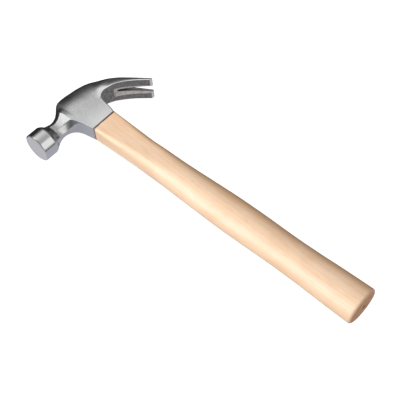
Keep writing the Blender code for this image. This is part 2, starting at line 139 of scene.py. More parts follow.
def spline(points, steps, breaks=()):
    """Points on cubics through the control points. It may turn sharply at the breaks."""

    def gap(i):
        return max(1e-6, math.sqrt(sum((b - a) ** 2 for a, b in zip(points[i], points[i + 1]))))

    def slope(i):
        return [(b - a) / gap(i) for a, b in zip(points[i], points[i + 1])]

    def tangent(i, side):
        if i == 0 or (i in breaks and side > 0):
            return slope(i)
        if i == len(points) - 1 or i in breaks:
            return slope(i - 1)
        before, after = gap(i - 1), gap(i)
        return [
            (a * after + b * before) / (before + after) for a, b in zip(slope(i - 1), slope(i))
        ]

    out = []
    for i, count in enumerate(steps):
        length = gap(i)
        spans = list(zip(points[i], tangent(i, 1), points[i + 1], tangent(i + 1, -1)))
        for k in range(count):
            t = k / count
            weights = (
                2 * t**3 - 3 * t**2 + 1,
                t**3 - 2 * t**2 + t,
                -2 * t**3 + 3 * t**2,
                t**3 - t**2,
            )
            out.append(
                tuple(
                    weights[0] * start
                    + weights[1] * leave * length
                    + weights[2] * end
                    + weights[3] * arrive * length
                    for start, leave, end, arrive in spans
                )
            )
    out.append(tuple(points[-1]))
    return out


# ---------------------------------------------------------------- node helpers


class Value:
    """One output of a node. Arithmetic and methods on it add further nodes."""

    def __init__(self, graph, socket):
        self.graph = graph
        self.socket = socket

    def __add__(self, other):
        return self.graph.math("ADD", self, other)

    def __radd__(self, other):
        return self.graph.math("ADD", other, self)

    def __sub__(self, other):
        return self.graph.math("SUBTRACT", self, other)

    def __rsub__(self, other):
        return self.graph.math("SUBTRACT", other, self)

    def __mul__(self, other):
        return self.graph.math("MULTIPLY", self, other)

    def __truediv__(self, other):
        return self.graph.math("DIVIDE", self, other)

    def math(self, operation, other=None, clamp=False):
        return self.graph.math(operation, self, other, clamp)

    def step(self, start, end):
        """0 at start, 1 at end, smooth between. start may be above end."""
        flip = start > end
        return self.graph.value(
            "ShaderNodeMapRange",
            {0: self, 1: min(start, end), 2: max(start, end), 3: float(flip), 4: 1.0 - flip},
            interpolation_type="SMOOTHSTEP",
        )

    def span(self, to, over=(0.3, 0.7)):
        """Straight and clamped, from the range over (by default a noise's) to the range to."""
        inputs = {0: self, 1: over[0], 2: over[1], 3: to[0], 4: to[1]}
        return self.graph.value("ShaderNodeMapRange", inputs, clamp=True)

    def split(self):
        node = self.graph.node("ShaderNodeSeparateXYZ", {0: self})
        return [Value(self.graph, socket) for socket in node.outputs]

    def scaled(self, factors):
        inputs = {0: self, 1: factors}
        return self.graph.value("ShaderNodeVectorMath", inputs, operation="MULTIPLY")

    def dot(self, other):
        inputs = {0: self, 1: other}
        return self.graph.value("ShaderNodeVectorMath", inputs, "Value", operation="DOT_PRODUCT")

    def noise(self, detail=2.0, rough=0.5, distort=0.0, scale=1.0):
        inputs = {
            "Vector": self,
            "Scale": scale,
            "Detail": detail,
            "Roughness": rough,
            "Distortion": distort,
        }
        return self.graph.value("ShaderNodeTexNoise", inputs)

    def cells(self, scale=1.0):
        return self.graph.value("ShaderNodeTexVoronoi", {"Vector": self, "Scale": scale})

    def blend(self, colour, share):
        return self.graph.blend(self, colour, share)

    def bump(self, strength, distance):
        inputs = {"Height": self, "Strength": strength, "Distance": distance}
        return self.graph.value("ShaderNodeBump", inputs)


class Graph:
    """Short calls that add nodes to one node tree."""

    def __init__(self, tree):
        self.tree = tree

    def fill(self, node, inputs):
        for key, value in inputs.items():
            if isinstance(value, Value):
                self.tree.links.new(value.socket, node.inputs[key])
            else:
                node.inputs[key].default_value = value

    def node(self, kind, inputs=None, **settings):
        node = self.tree.nodes.new(kind)
        for key, value in settings.items():
            setattr(node, key, value)
        self.fill(node, inputs or {})
        return node

    def value(self, kind, inputs=None, output=0, **settings):
        return Value(self, self.node(kind, inputs, **settings).outputs[output])

    def math(self, operation, first, second=None, clamp=False):
        inputs = {0: first} if second is None else {0: first, 1: second}
        return self.value("ShaderNodeMath", inputs, operation=operation, use_clamp=clamp)

    def vec(self, x, y, z):
        return self.value("ShaderNodeCombineXYZ", {0: x, 1: y, 2: z})

    def blend(self, first, second, share):
        first, second = ((*c, 1.0) if isinstance(c, tuple) else c for c in (first, second))
        inputs = {0: share, 6: first, 7: second}
        return self.value("ShaderNodeMix", inputs, output=2, data_type="RGBA")


def grey(level):
    return (level, level, level)


def shade(colour, factor):
    return tuple(min(1.0, c * factor) for c in colour)


def make_material(name, colour, build):
    """A material. build(graph, point) gives its Principled inputs; point is in millimetres."""
    material = bpy.data.materials.new(name)
    material.use_nodes = True
    material.diffuse_color = (*colour, 1.0)
    graph = Graph(material.node_tree)
    coords = graph.value("ShaderNodeTexCoord", output="Object")
    point = coords.scaled(grey(1000.0))
    graph.fill(material.node_tree.nodes["Principled BSDF"], build(graph, point))
    return material


# ---------------------------------------------------------------- materials
# Places in the frame, mm
FACE_MM = head_lo.y / MM
MOUTH_MM = ZERO.x / MM
AXIS_Y_MM, AXIS_Z_MM = ZERO.y / MM, ZERO.z / MM
POLL_FADE = {"start": 15.0, "end": 13.0}  # y where cheek strokes give way to the poll's rings


def brushed_axes(x, y):
    """Across and along the cheek strokes, which run a little off the head's length."""
    across = x * 0.93 + y * 0.36
    along = y * 0.93 - x * 0.36
    return across, along


def tool_marks(graph, point):
    """Height of the fine tool marks: rings round the poll, straight strokes on the cheeks."""
    x, y, z = point.split()
    angle = z.math("ARCTAN2", x)
    rings = graph.vec(angle * 1.4, y * 5.0, 0.0).noise(detail=3.0, rough=0.6)
    across, along = brushed_axes(x, y)
    strokes = graph.vec(across * 2.6, along * 0.10, z * 2.6).noise(detail=3.0, rough=0.65)
    on_poll = y.step(**POLL_FADE)
    return rings * on_poll + strokes * (1.0 - on_poll), on_poll


def polished_steel(graph, point):
    """Bright steel, smeared along the cheeks and clean on its ground parts."""
    marks, on_poll = tool_marks(graph, point)
    cloud = point.noise(detail=4.0, rough=0.6, distort=0.4, scale=0.09)
    fine = point.noise(scale=1.7)
    tint = graph.blend((0.56, 0.56, 0.565), (0.62, 0.62, 0.625), cloud)
    # small dull specks, then darker stroke marks on the cheeks
    tint = tint.blend((0.50, 0.495, 0.49), fine.step(start=0.62, end=0.8) * 0.25)
    stroke_share = marks.span(over=(0.35, 0.65), to=(0.0, 0.6)) * (1.0 - on_poll)
    tint = tint.blend(grey(0.45), stroke_share)
    # long dark and light smears on the cheeks
    x, y, z = point.split()
    across, along = brushed_axes(x, y)
    smear = graph.vec(across * 0.9, along * 0.22, z * 0.9).noise(detail=4.0, rough=0.75)
    dark_share = smear.span(over=(0.44, 0.66), to=(0.0, 0.40)) * (1.0 - on_poll)
    tint = tint.blend(grey(0.42), dark_share)
    light_share = smear.span(over=(0.44, 0.28), to=(0.0, 0.30)) * (1.0 - on_poll)
    tint = tint.blend(grey(0.76), light_share)
    # warm striking face and claw tips; painted highlight: the cheek is made brighter round the
    # socket mouth
    face = y.step(start=FACE_MM + 1.0, end=FACE_MM + 0.4)
    tint = tint.blend((0.755, 0.745, 0.715), face)
    tips = x.step(start=27.0, end=29.5) * y.step(start=FACE_MM + 112.0, end=FACE_MM + 116.0)
    tint = tint.blend((0.80, 0.775, 0.70), tips)
    # painted highlight: lighter cheek towards +X, round the socket mouth
    mouth = x.step(start=MOUTH_MM - 22.0, end=MOUTH_MM)
    mouth = mouth * y.step(start=FACE_MM + 40.0, end=FACE_MM + 55.0)
    tint = tint.blend((0.74, 0.74, 0.745), mouth * 0.8)
    # the poll is a little glossier
    rough = marks.span(to=(0.17, 0.24)) + cloud.span(to=(-0.02, 0.03))
    return {
        "Base Color": tint,
        "Metallic": 1.0,
        "Roughness": rough + on_poll * -0.05,
        "Normal": marks.bump(strength=0.14, distance=0.00003),
    }


def as_forged(graph, point):
    """Dark, rough scale left from the forge, a little rubbed and pitted."""
    coarse = point.noise(detail=5.0, rough=0.62, distort=0.3, scale=0.42)
    grain = point.noise(detail=3.0, rough=0.7, scale=2.1)
    pits = point.cells(scale=1.1)
    rubbed = coarse.step(start=0.3, end=0.7)
    tint = graph.blend((0.19, 0.177, 0.168), (0.34, 0.32, 0.305), rubbed)
    tint = tint.blend((0.10, 0.094, 0.09), pits.step(start=0.28, end=0.08) * 0.6)
    rough = grain.span(to=(0.42, 0.62))
    height = coarse * 0.7 + (grain * 0.3 + pits.step(start=0.0, end=0.3) * 0.25)
    return {
        "Base Color": tint,
        "Metallic": 0.85,
        "Roughness": rough,
        "Normal": height.bump(strength=0.55, distance=0.00022),
    }


def ground_steel(graph, point):
    """Bright faces left by the grinding wheel along the nail slot, with marks across it."""
    x, y, z = point.split()
    lines = graph.vec(x * 0.9, y * 3.2, z * 0.25).noise(detail=3.0, rough=0.7)
    cloud = point.noise(detail=3.0, rough=0.6, distort=0.2, scale=0.35)
    bright = ((lines + cloud) * 0.5).step(start=0.3, end=0.65)
    return {
        "Base Color": graph.blend((0.56, 0.53, 0.49), (0.88, 0.84, 0.78), bright),
        "Metallic": 0.75,
        "Roughness": lines.span(to=(0.30, 0.46)),
        "Normal": lines.bump(strength=0.45, distance=0.0001),
    }


def raw_steel(graph, point):
    """Inside the eye: broached, dull and dark."""
    x, y, z = point.split()
    lines = graph.vec(x * 0.15, y * 2.0, z * 2.0).noise(rough=0.6)
    return {
        "Base Color": graph.blend((0.12, 0.11, 0.105), (0.26, 0.25, 0.24), lines),
        "Metallic": 0.9,
        "Roughness": lines.span(to=(0.45, 0.62)),
        "Normal": lines.bump(strength=0.4, distance=0.0001),
    }


RING_SHIFT = (-18.0, 64.0)  # added to y and z, to put the rings' centre off the billet
RING_DRIFT, RING_TILT, RING_WANDER = 16.0, 0.02, 2.2  # how the rings stray from true circles
# colour of the painted shade on the wood's +Y side
PAINTED_SIDE_SHADE = (0.80, 0.42, 0.19)
END_CENTRE = (0.10, 0.05, 0.035)
# colour of the painted shade along the wood's joint with the socket
GAP_SHADE_PAINT = (0.05, 0.024, 0.016)


def growth_rings(point, ring_gap):
    """Share of dark late wood, and the slow noise that bends the rings."""
    x, y, z = point.split()
    drift = point.scaled((0.008, 0.03, 0.03)).noise()
    wander = point.scaled((0.03, 0.12, 0.12)).noise()
    across = y + RING_SHIFT[0] + drift * RING_DRIFT
    below = z + RING_SHIFT[1] + x * RING_TILT
    radius = (across * across + below * below).math("SQRT") + wander * RING_WANDER
    ring = (radius / ring_gap).math("FRACT")
    late = ring.step(start=0.35, end=0.93) * ring.step(start=1.0, end=0.95)
    return (x, y, z), late, wander


def cut_end(graph, point, y, z, end, late):
    """Colour of a cut end, its pores, and the distance from the handle's axis."""
    pore = point.scaled((0.05, 2.6, 2.6)).cells()
    tone = graph.blend(end, shade(end, 0.72), late)
    tone = tone.blend(shade(end, 0.45), pore.step(start=0.26, end=0.10) * 0.7)
    cloud = point.noise(detail=3.0, rough=0.6, scale=0.22)
    tone = tone.blend(shade(end, 1.25), cloud * 0.5)
    off_y, off_z = y - AXIS_Y_MM, z - AXIS_Z_MM
    off_axis = (off_y * off_y + off_z * off_z).math("SQRT")
    tone = tone.blend(END_CENTRE, off_axis.step(start=2.3, end=1.5))
    tone = tone.blend(shade(end, 0.5), cloud.step(start=0.52, end=0.66) * 0.6)
    return tone, pore, off_axis


def wood(light, mid, dark, end, ring_gap):
    """Hardwood with its fibres along X: rings, fibres, flecks, clouds and darker cut ends, with
    painted shade on its +Y side and along its joint with the socket.
    """

    def build(graph, point):
        (x, y, z), late, wander = growth_rings(point, ring_gap)
        fibre = point.scaled((0.035, 1.5, 1.5)).noise(detail=4.0, rough=0.65)
        fleck = point.scaled((0.16, 1.1, 1.1)).noise().step(start=0.60, end=0.72)
        cloud = point.scaled((0.035, 0.07, 0.07)).noise(detail=3.0, rough=0.55, distort=0.5)
        tone = late * 0.24 + fibre.span(over=(0.25, 0.75), to=(-0.10, 0.36))
        tone = tone + cloud.span(to=(-0.20, 0.40))
        side = graph.blend(light, mid, tone.math("MAXIMUM", 0.0, clamp=True))
        side = side.blend(dark, fleck * 0.30)
        # painted shade: redder and darker towards the +Y side of the billet, the side turned from
        # the light
        painted_side_shade = y.step(start=AXIS_Y_MM + 1.0, end=AXIS_Y_MM + 17.0)
        side = side.blend(PAINTED_SIDE_SHADE, painted_side_shade * 0.62)
        # faces across the fibres, and the centre mark, count as cut
        normal = graph.value("ShaderNodeNewGeometry", output="True Normal")
        cut = normal.split()[0].math("ABSOLUTE").step(start=0.80, end=0.97)
        end_tone, pore, off_axis = cut_end(graph, point, y, z, end, late)
        cut = cut.math("MAXIMUM", off_axis.step(start=2.3, end=2.0))
        colour = side.blend(end_tone, cut)
        # painted shade: a dark line on the wood where the shoulder meets the socket, standing in
        # for the gap between them
        gap_shade_line = MOUTH_MM + FIT_GAP + 1.6 + wander.span(to=(-0.15, 0.35))
        gap_shade_line = (x - gap_shade_line).step(start=0.5, end=-0.1)
        colour = colour.blend(GAP_SHADE_PAINT, gap_shade_line * 0.95)
        rough = fibre.span(to=(0.36, 0.46)) + cut * 0.2
        coat = (1.0 - cut) * 0.46
        height = fibre * 0.6 + fleck * -0.3
        height = height + pore.step(start=0.1, end=0.26) * cut * 0.8
        return {
            "Base Color": colour,
            "Roughness": rough,
            "Coat Weight": coat,
            "Coat Roughness": 0.36,
            "Normal": height.bump(strength=0.25, distance=0.00006),
        }

    return build


POLISHED = make_material("polished_steel", (0.6, 0.6, 0.61), polished_steel)
FORGED = make_material("as_forged_steel", (0.2, 0.19, 0.18), as_forged)
GROUND = make_material("ground_steel", (0.5, 0.49, 0.48), ground_steel)
RAW = make_material("eye_steel", (0.2, 0.2, 0.2), raw_steel)
HANDLE_WOOD = make_material(
    "handle_wood",
    (0.82, 0.62, 0.4),
    wood(
        light=(0.90, 0.645, 0.45),
        mid=(0.78, 0.50, 0.29),
        dark=(0.56, 0.31, 0.15),
        end=(0.92, 0.47, 0.26),
        ring_gap=2.4,
    ),
)
WEDGE_WOOD = make_material(
    "wedge_wood",
    (0.5, 0.33, 0.18),
    wood(
        light=(0.55, 0.35, 0.20),
        mid=(0.40, 0.23, 0.12),
        dark=(0.24, 0.12, 0.06),
        end=(0.30, 0.16, 0.09),
        ring_gap=1.6,
    ),
)
WEDGE_STEEL = make_material("wedge_steel", (0.4, 0.4, 0.4), ground_steel)

# ---------------------------------------------------------------- mesh helpers


def shade_edges(mesh, sharp):
    mesh.shade_smooth()
    mesh.set_sharp_from_angle(angle=math.radians(sharp))


def make_object(name, bm, materials=(), sharp=HEAD_SHARP):
    mesh = bpy.data.meshes.new(name)
    bm.to_mesh(mesh)
    bm.free()
    shade_edges(mesh, sharp)
    for material in materials:
        mesh.materials.append(material)
    obj = bpy.data.objects.new(name, mesh)
    bpy.context.scene.collection.objects.link(obj)
    return obj


def skin(rings, paint=None):
    """A closed skin over rings in design mm. paint(row, column) gives a face's material."""
    bm = bmesh.new()
    rows = [[bm.verts.new(world(*point)) for point in ring] for ring in rings]
    count = len(rows[0])
    for row, (here, there) in enumerate(zip(rows, rows[1:])):
        for i in range(count):
            j = (i + 1) % count
            face = bm.faces.new((here[i], here[j], there[j], there[i]))
            if paint:
                face.material_index = paint(row, i)
    bm.faces.new(list(reversed(rows[0])))
    bm.faces.new(rows[-1])
    bmesh.ops.recalc_face_normals(bm, faces=bm.faces)
    return bm


def cut_all(target, cutters, sharp=HEAD_SHARP):
    """Cuts the cutters out of the target, with their materials, and leaves a plain mesh."""
    for cutter in cutters:
        modifier = target.modifiers.new(cutter.name, "BOOLEAN")
        modifier.operation = "DIFFERENCE"
        modifier.solver = "EXACT"
        modifier.object = cutter
        modifier.material_mode = "TRANSFER"
    bpy.context.view_layer.update()
    evaluated = target.evaluated_get(bpy.context.evaluated_depsgraph_get())
    mesh = bpy.data.meshes.new_from_object(evaluated)
    target.modifiers.clear()
    target.data = mesh
    shade_edges(mesh, sharp)
    for cutter in cutters:
        bpy.data.objects.remove(cutter, do_unlink=True)


# ---------------------------------------------------------------- head
FACE_RING_RADII = (0.4, 2.0, 4.0, 6.0, 8.0, 10.0, 11.6, 12.5)
# y, radius, roundness (0 an octagon, 1 a circle)
poll_rows = [
    (POLL_BACK_Y + 0.5, POLL_R - 0.3, 1.0),
    (-44.0, 13.2, 1.0),
    (-42.0, 11.75, 0.8),
    (-40.0, 10.65, 0.4),
    (-38.0, 9.65, 0.1),
    (-36.0, 8.95, 0.0),
    (-34.0, 8.5, 0.0),
]
# inner x,y | cheek start x,y | cheek end x,y | crown x,y | inner drop, outer drop, roundness
body_rows = [
    (-20.2, -32, -25.0, -32, -32.2, -32, -38.2, -32, 4.6, 4.6, 0.0),
    (-19.8, -28, -25.0, -27.6, -33.2, -28, -39.1, -28.2, 4.4, 4.6, 0.1),
    (-19.1, -23.8, -24.7, -23, -34.7, -24.6, -40.6, -24.8, 3.6, 4.6, 0.3),
    (-18.0, -20.3, -23.8, -19.3, -36.6, -21.2, -43.2, -21.2, 2.4, 4.7, 0.5),
    (-16.2, -17.8, -20.4, -17.4, -38.2, -18.2, -46.2, -18.0, 1.3, 4.5, 0.7),
    (-13.4, -16.2, -14.4, -15.6, -39.0, -14.8, -48.9, -15.2, 0.6, 4.2, 0.9),
    (-10.0, -15.2, -10.1, -14.6, -41.0, -11.6, -50.6, -12.4, 0.6, 4.0, 1.0),
    (-6.5, -14.5, -6.6, -13.9, -42.0, -8.6, -51.2, -9.6, 0.6, 4.0, 1.0),
    (-3.2, -13.9, -3.3, -13.3, -42.5, -5.8, -51.4, -6.8, 0.6, 4.0, 1.0),
    (0.0, -13.4, -0.6, -12.8, -42.7, -3.0, -51.3, -4.0, 0.6, 4.0, 1.0),
    (0.0, -7.0, -0.6, -6.7, -42.6, 0.5, -51.0, 0.0, 0.6, 4.0, 1.0),
    (0.0, 0.0, -0.6, 0.0, -42.2, 4.0, -50.4, 4.0, 0.6, 4.0, 1.0),
    (0.0, 7.0, -0.6, 6.7, -41.4, 8.0, -49.9, 8.4, 0.6, 4.0, 1.0),
    (0.0, 13.9, -0.5, 12.7, -40.4, 12.0, -49.2, 12.7, 1.1, 4.0, 1.0),
    (-4.0, 15.0, -4.0, 13.9, -39.2, 15.4, -48.2, 16.7, 1.0, 4.1, 1.0),
    (-9.0, 15.9, -9.0, 14.8, -37.9, 18.5, -47.1, 20.5, 1.0, 4.2, 1.0),
    (-14.5, 16.5, -14.5, 15.5, -36.4, 21.4, -45.5, 24.0, 0.9, 4.3, 1.0),
    (-19.4, 17.1, -19.6, 16.1, -34.9, 24.2, -43.4, 27.1, 0.9, 4.4, 1.0),
    (-22.4, 18.3, -23.1, 17.5, -33.4, 27.0, -41.0, 30.1, 0.8, 4.4, 1.0),
    (-24.0, 20.7, -24.8, 20.5, -31.7, 29.8, -38.4, 33.0, 0.7, 4.1, 1.0),
    (-24.2, 24.0, -24.9, 24.3, -29.7, 32.7, -35.3, 35.9, 0.7, 3.7, 1.0),
    (-23.4, 28.0, -24.1, 28.4, -27.4, 35.7, -32.0, 39.1, 0.7, 3.3, 1.0),
    (-22.0, 32.0, -22.6, 32.5, -24.8, 38.8, -28.5, 42.0, 0.7, 2.9, 1.0),
    (-19.9, 36.0, -20.5, 36.5, -22.1, 41.9, -25.1, 44.8, 0.7, 2.5, 1.0),
    (-17.1, 40.1, -17.6, 40.6, -19.0, 45.0, -21.2, 47.7, 0.7, 2.2, 1.0),
    (-13.9, 44.0, -14.4, 44.5, -15.6, 48.1, -17.2, 50.4, 0.7, 1.9, 1.0),
    (-10.8, 47.4, -11.3, 47.9, -12.3, 50.9, -13.5, 53.0, 0.7, 1.7, 1.0),
    (-7.3, 50.8, -7.8, 51.3, -8.7, 53.7, -9.6, 55.6, 0.7, 1.5, 1.0),
    (-3.8, 54.0, -4.3, 54.5, -5.0, 56.4, -5.7, 58.1, 0.6, 1.3, 1.0),
    (0.1, 57.5, -0.4, 58.0, -1.0, 59.4, -1.6, 60.9, 0.6, 1.2, 1.0),
    (4.3, 61.1, 3.8, 61.6, 3.2, 62.6, 2.6, 63.6, 0.6, 1.1, 1.0),
]
SOCKET_CORNERS = (9, 13)  # rows at the two sharp turns of the socket's mouth
CLAW_FIRST_ROW = 18
ROW_STEPS = 6
# points along the inner wall, its bevel, the cheek, the crown's rounding and the outer wall
SIDE_POINTS = (6, 7, 18, 16, 5)
CORNER_POINTS = 4  # on each rounded corner of a section
FORGED_COLUMNS = SIDE_POINTS[0] + CORNER_POINTS + 4  # inner wall and the start of its bevel
CROWN_REACH = 1.9  # the crown's rounding reaches into the cheek, as a share of its own width
CROWN_POWER, THIN_CROWN_POWER = 2.7, 1.5
CROWN_DROP, THIN_CROWN_DROP = 1.03, 0.78


def half_thickness(y):
    """Half thickness in z: the neck's waist, the flat cheek, then the spread of the claws."""
    cheek = (
        CHEEK_FRONT
        + CHEEK_SLOPE * (max(y, CREASE_Y) - CHEEK_FRONT_Y)
        + CLAW_SPREAD * smooth(CLAW_SPREAD_FROM, CLAW_SPREAD_TO, y)
    )
    return cheek - WAIST_DROP * (1 - math.exp(min(0.0, y - CREASE_Y) / WAIST_REACH))


def half_section(sides):
    """Half a section from five sides, each a function of 0..1, its corners rounded."""
    edge_shares = []
    for side in sides:
        points = [side(k / 8) for k in range(9)]
        length = sum(math.dist(a, b) for a, b in zip(points, points[1:])) or 1e-6
        edge_shares.append(min(0.4, EDGE / length))
    section = []
    last = len(sides) - 1
    for i, (side, count) in enumerate(zip(sides, SIDE_POINTS)):
        start = edge_shares[i] if i > 0 else 0.0
        stop = 1 - edge_shares[i] if i < last else 1.0
        section += [side(lerp(start, stop, k / count)) for k in range(count)]
        if i < last:
            after = sides[i + 1](edge_shares[i + 1])
            section += round_corner(side(stop), side(1.0), after, CORNER_POINTS)
    section.append(sides[-1](1.0))
    return section


def poll_half(y, radius, roundness):
    """Half section of the poll or neck, between an octagon and a circle."""
    flat = radius * NECK_FLAT
    corners = [
        (radius, 0), (radius, flat), (flat, radius), (-flat, radius), (-radius, flat), (-radius, 0)
    ]
    flatten = 1 - 0.22 * smooth(-43.5, -37.5, y)
    thicken = 1 + 0.14 * smooth(-43.0, -36.0, y)  # the neck is thicker on the crown's side

    def side(start, end):
        def point(share):
            x, z = mix(start, end, share)
            to_circle = radius / math.hypot(x, z)
            x, z = mix((x, z), (x * to_circle, z * to_circle), roundness)
            if x < 0:
                x *= thicken
            return (POLL_AXIS_X + x, y, max(0.0, z) * flatten)

        return point

    return half_section([side(a, b) for a, b in zip(corners, corners[1:])])


def body_half(row, mouth=0.0, claw=1.0):
    """Half section of the body. mouth (0..1) makes the inner edge crisp; claw rolls it over."""
    inner, near, far, outer = row[0:2], row[2:4], row[4:6], row[6:8]
    inner_drop, outer_drop, roundness = row[8:]
    far_y = far[1]
    # out along the claws the crown takes up the whole width
    thin = smooth(28.0, 36.0, far_y) * claw
    # the inner edge
    reach = lerp(1.0, 0.4, mouth) * lerp(1.0, 1.9, claw)
    limit = 0.45 * math.dist(far, inner) / math.dist(near, inner)
    near = mix(inner, near, min(reach, limit))
    inner_drop *= lerp(1.0, 0.4, mouth) * lerp(1.0, 1.15, claw)
    near_z = half_thickness(near[1])
    inner_z = near_z - inner_drop
    # the crown's rounding starts well inside the cheek and steepens slowly
    crown_length = math.dist(outer, far)
    cheek_length = math.dist(far, near)
    swell = 2.0 * smooth(8.0, 20.0, far_y) * (1 - smooth(26.0, 42.0, far_y))
    cheek_share = lerp(lerp(0.05, 0.72, smooth(-20.4, -17.4, far_y)), 0.85, thin)
    grow = min(CROWN_REACH * (crown_length - swell), cheek_share * cheek_length) * roundness
    crown_start = mix(far, outer, -grow / crown_length)
    drop_share = lerp(1.0, CROWN_DROP, roundness) * lerp(1.0, THIN_CROWN_DROP, thin)
    outer_z = half_thickness(far_y) - outer_drop * drop_share

    def inner_wall(share):
        return (*inner, lerp(0.0, inner_z, share))

    def edge(share):
        angle = share * math.pi / 2
        across = lerp(share, 1 - math.cos(angle), claw)
        rise = lerp(share, math.sin(angle), claw)
        return (*mix(inner, near, across), lerp(inner_z, near_z, rise))

    def cheek(share):
        x, y = mix(near, crown_start, share)
        return (x, y, half_thickness(y))

    def crown(share):
        across = share**0.8
        x, y = mix(crown_start, outer, across)
        chamfer = max(0.0, (across * (crown_length + grow) - grow) / crown_length)
        curve = across ** lerp(CROWN_POWER, THIN_CROWN_POWER, thin)
        drop = lerp(chamfer, curve, roundness) * (half_thickness(outer[1]) - outer_z)
        return (x, y, half_thickness(y) - drop)

    def outer_wall(share):
        return (*outer, lerp(outer_z, 0.0, share))

    return half_section([inner_wall, edge, cheek, crown, outer_wall])


def mirrored(half):
    return half + [(x, y, -z) for x, y, z in reversed(half[1:-1])]


def inset(half, distance):
    """The same half section, drawn in towards its middle."""
    middle_x, middle_y, middle_z = (sum(values) / len(half) for values in zip(*half))
    middle_z *= 0.6
    out = []
    for x, y, z in half:
        pull = Vector((middle_x - x, middle_y - y, (middle_z - z) if z > 0 else 0.0))
        if pull.length > 1e-6:
            pull *= distance / pull.length
        out.append((x + pull.x, y + pull.y, max(0.0, z + pull.z)))
    return out


def poll_halves():
    """Half sections of the poll and neck, from the middle of the striking face."""
    rim = (FACE_Y + FACE_CROWN, FACE_RIM_R)
    barrel_start = (BARREL_START_Y, POLL_R)
    barrel_end = (POLL_BACK_Y - 0.5, POLL_R)

    def bevel(share):
        return mix(rim, FACE_BEVEL_END, share)

    outline = [(FACE_Y + FACE_CROWN * (r / FACE_RIM_R) ** 2, r) for r in FACE_RING_RADII]
    outline += round_corner((rim[0] - 0.01, FACE_RIM_R - 0.25), rim, bevel(0.25), 4)
    outline += [bevel(share) for share in (0.25, 0.45, 0.65)]
    outline += round_corner(bevel(0.82), (-58.32, POLL_R), barrel_start, 5)
    outline += [mix(barrel_start, barrel_end, k / 14) for k in range(14)]
    outline += round_corner(barrel_end, (-45.95, POLL_R), poll_rows[0][:2], 5)
    halves = [poll_half(y, radius, 1.0) for y, radius in outline]
    return halves + [poll_half(*row) for row in spline(poll_rows, [5] * 6)]


def bevelled(row, share):
    """A row of the claw's tip, thinned from its inner side."""
    row = list(row)
    depth_x, depth_y = row[6] - row[0], row[7] - row[1]
    for column, weight in ((0, 0.42), (2, 0.42), (4, 0.16)):
        row[column] += depth_x * weight * share
        row[column + 1] += depth_y * weight * share
    return tuple(row)


def body_halves():
    """Half sections from the neck to the claw tips, and the range of them along the claws."""
    rows = spline(body_rows, [ROW_STEPS] * (len(body_rows) - 1), SOCKET_CORNERS)
    first_corner, last_corner = (ROW_STEPS * corner for corner in SOCKET_CORNERS)
    # how far each corner's rounding reaches towards the rows before and after
    reach = {first_corner: (0.85, 0.45), last_corner: (0.42, 0.70)}
    halves = []
    for i, row in enumerate(rows[:-3]):
        place = i / ROW_STEPS
        mouth = smooth(5.0, 7.0, place) * (1 - smooth(12.6, 13.2, place))
        claw = smooth(16.5, 19.0, place)
        if i == last_corner:
            claw_start = len(halves)
        stations = [row]
        if i in reach:
            before = mix(row, rows[i - 1], reach[i][0])
            after = mix(row, rows[i + 1], reach[i][1])
            stations = round_corner(before, row, after, 4) + [after]
        halves += [body_half(station, mouth, claw) for station in stations]
    # the tip: a bevel over the last two rows, then a rounded end
    tip = rows[-3:]
    halves.append(body_half(mix(tip[0], rows[-4], 0.12)))
    claws = range(claw_start, len(halves))
    halves.append(body_half(tip[0]))
    for share in (0.25, 0.5, 0.75, 0.9):
        i, rest = divmod(2 * share, 1)
        row = mix(tip[int(i)], tip[int(i) + 1], rest)
        halves.append(body_half(bevelled(row, share)))
    halves.append(inset(body_half(bevelled(mix(tip[1], tip[2], 0.93), 0.96)), 0.10))
    halves.append(inset(body_half(bevelled(tip[2], 1.0)), 0.30))
    return halves, claws


def head_surface():
    halves = poll_halves()
    join = len(halves)
    body, claws = body_halves()
    halves += body
    # ease the change from the poll's rows to the body's
    eased = slice(join - 8, join + 10)
    for _ in range(10):
        halves[eased] = [
            [
                tuple(0.25 * a + 0.5 * b + 0.25 * c for a, b, c in zip(*points))
                for points in zip(halves[i - 1], halves[i], halves[i + 1])
            ]
            for i in range(eased.start, eased.stop)
        ]
    rings = [mirrored(half) for half in halves]

    def paint(row, column):
        """Forged (1) on the claws' inner face, above and below the middle; else polished."""
        from_inner = min(column, len(rings[0]) - 1 - column)
        return int(row - join in claws and from_inner < FORGED_COLUMNS)

    return make_object("hammer_head_surface", skin(rings, paint), (POLISHED, FORGED, GROUND, RAW))


def rounded_section(x, half_y, half_z, corner, steps=12, flats=8, shift=0.0):
    """A rectangle in y and z with rounded corners, at x, with points along its flats too."""
    corner = min(corner, half_y - 0.01, half_z - 0.01)
    ring = []
    for quarter, (sign_y, sign_z) in enumerate(((1, 1), (-1, 1), (-1, -1), (1, -1))):
        for k in range(steps + 1):
            angle = math.radians(90 * quarter + 90 * k / steps)
            y = sign_y * (half_y - corner) + corner * math.cos(angle)
            z = sign_z * (half_z - corner) + corner * math.sin(angle)
            ring.append((y, z))
    out = []
    for i, point in enumerate(ring):
        out.append(point)
        if i % (steps + 1) == steps:
            after = ring[(i + 1) % len(ring)]
            out += [mix(point, after, k / flats) for k in range(1, flats)]
    return [(x + shift * y, y, z) for y, z in out]


def eye_half_sizes(x):
    x = min(0.0, x)
    if x > EYE_WAIST_X:
        return mix(EYE_MOUTH, EYE_WAIST, min(1.0, x / EYE_WAIST_X))
    return mix(EYE_WAIST, EYE_TOP, (x - EYE_WAIST_X) / (EYE_TOP_X - EYE_WAIST_X))


def eye_cutter():
    rings = [
        rounded_section(x, *eye_half_sizes(x), corner=3.6, steps=10, flats=3)
        for x in (3.0, 0.0, -11.0, EYE_WAIST_X, -37.0, -56.0)
    ]
    return make_object("eye_cutter", skin(rings), (RAW,))


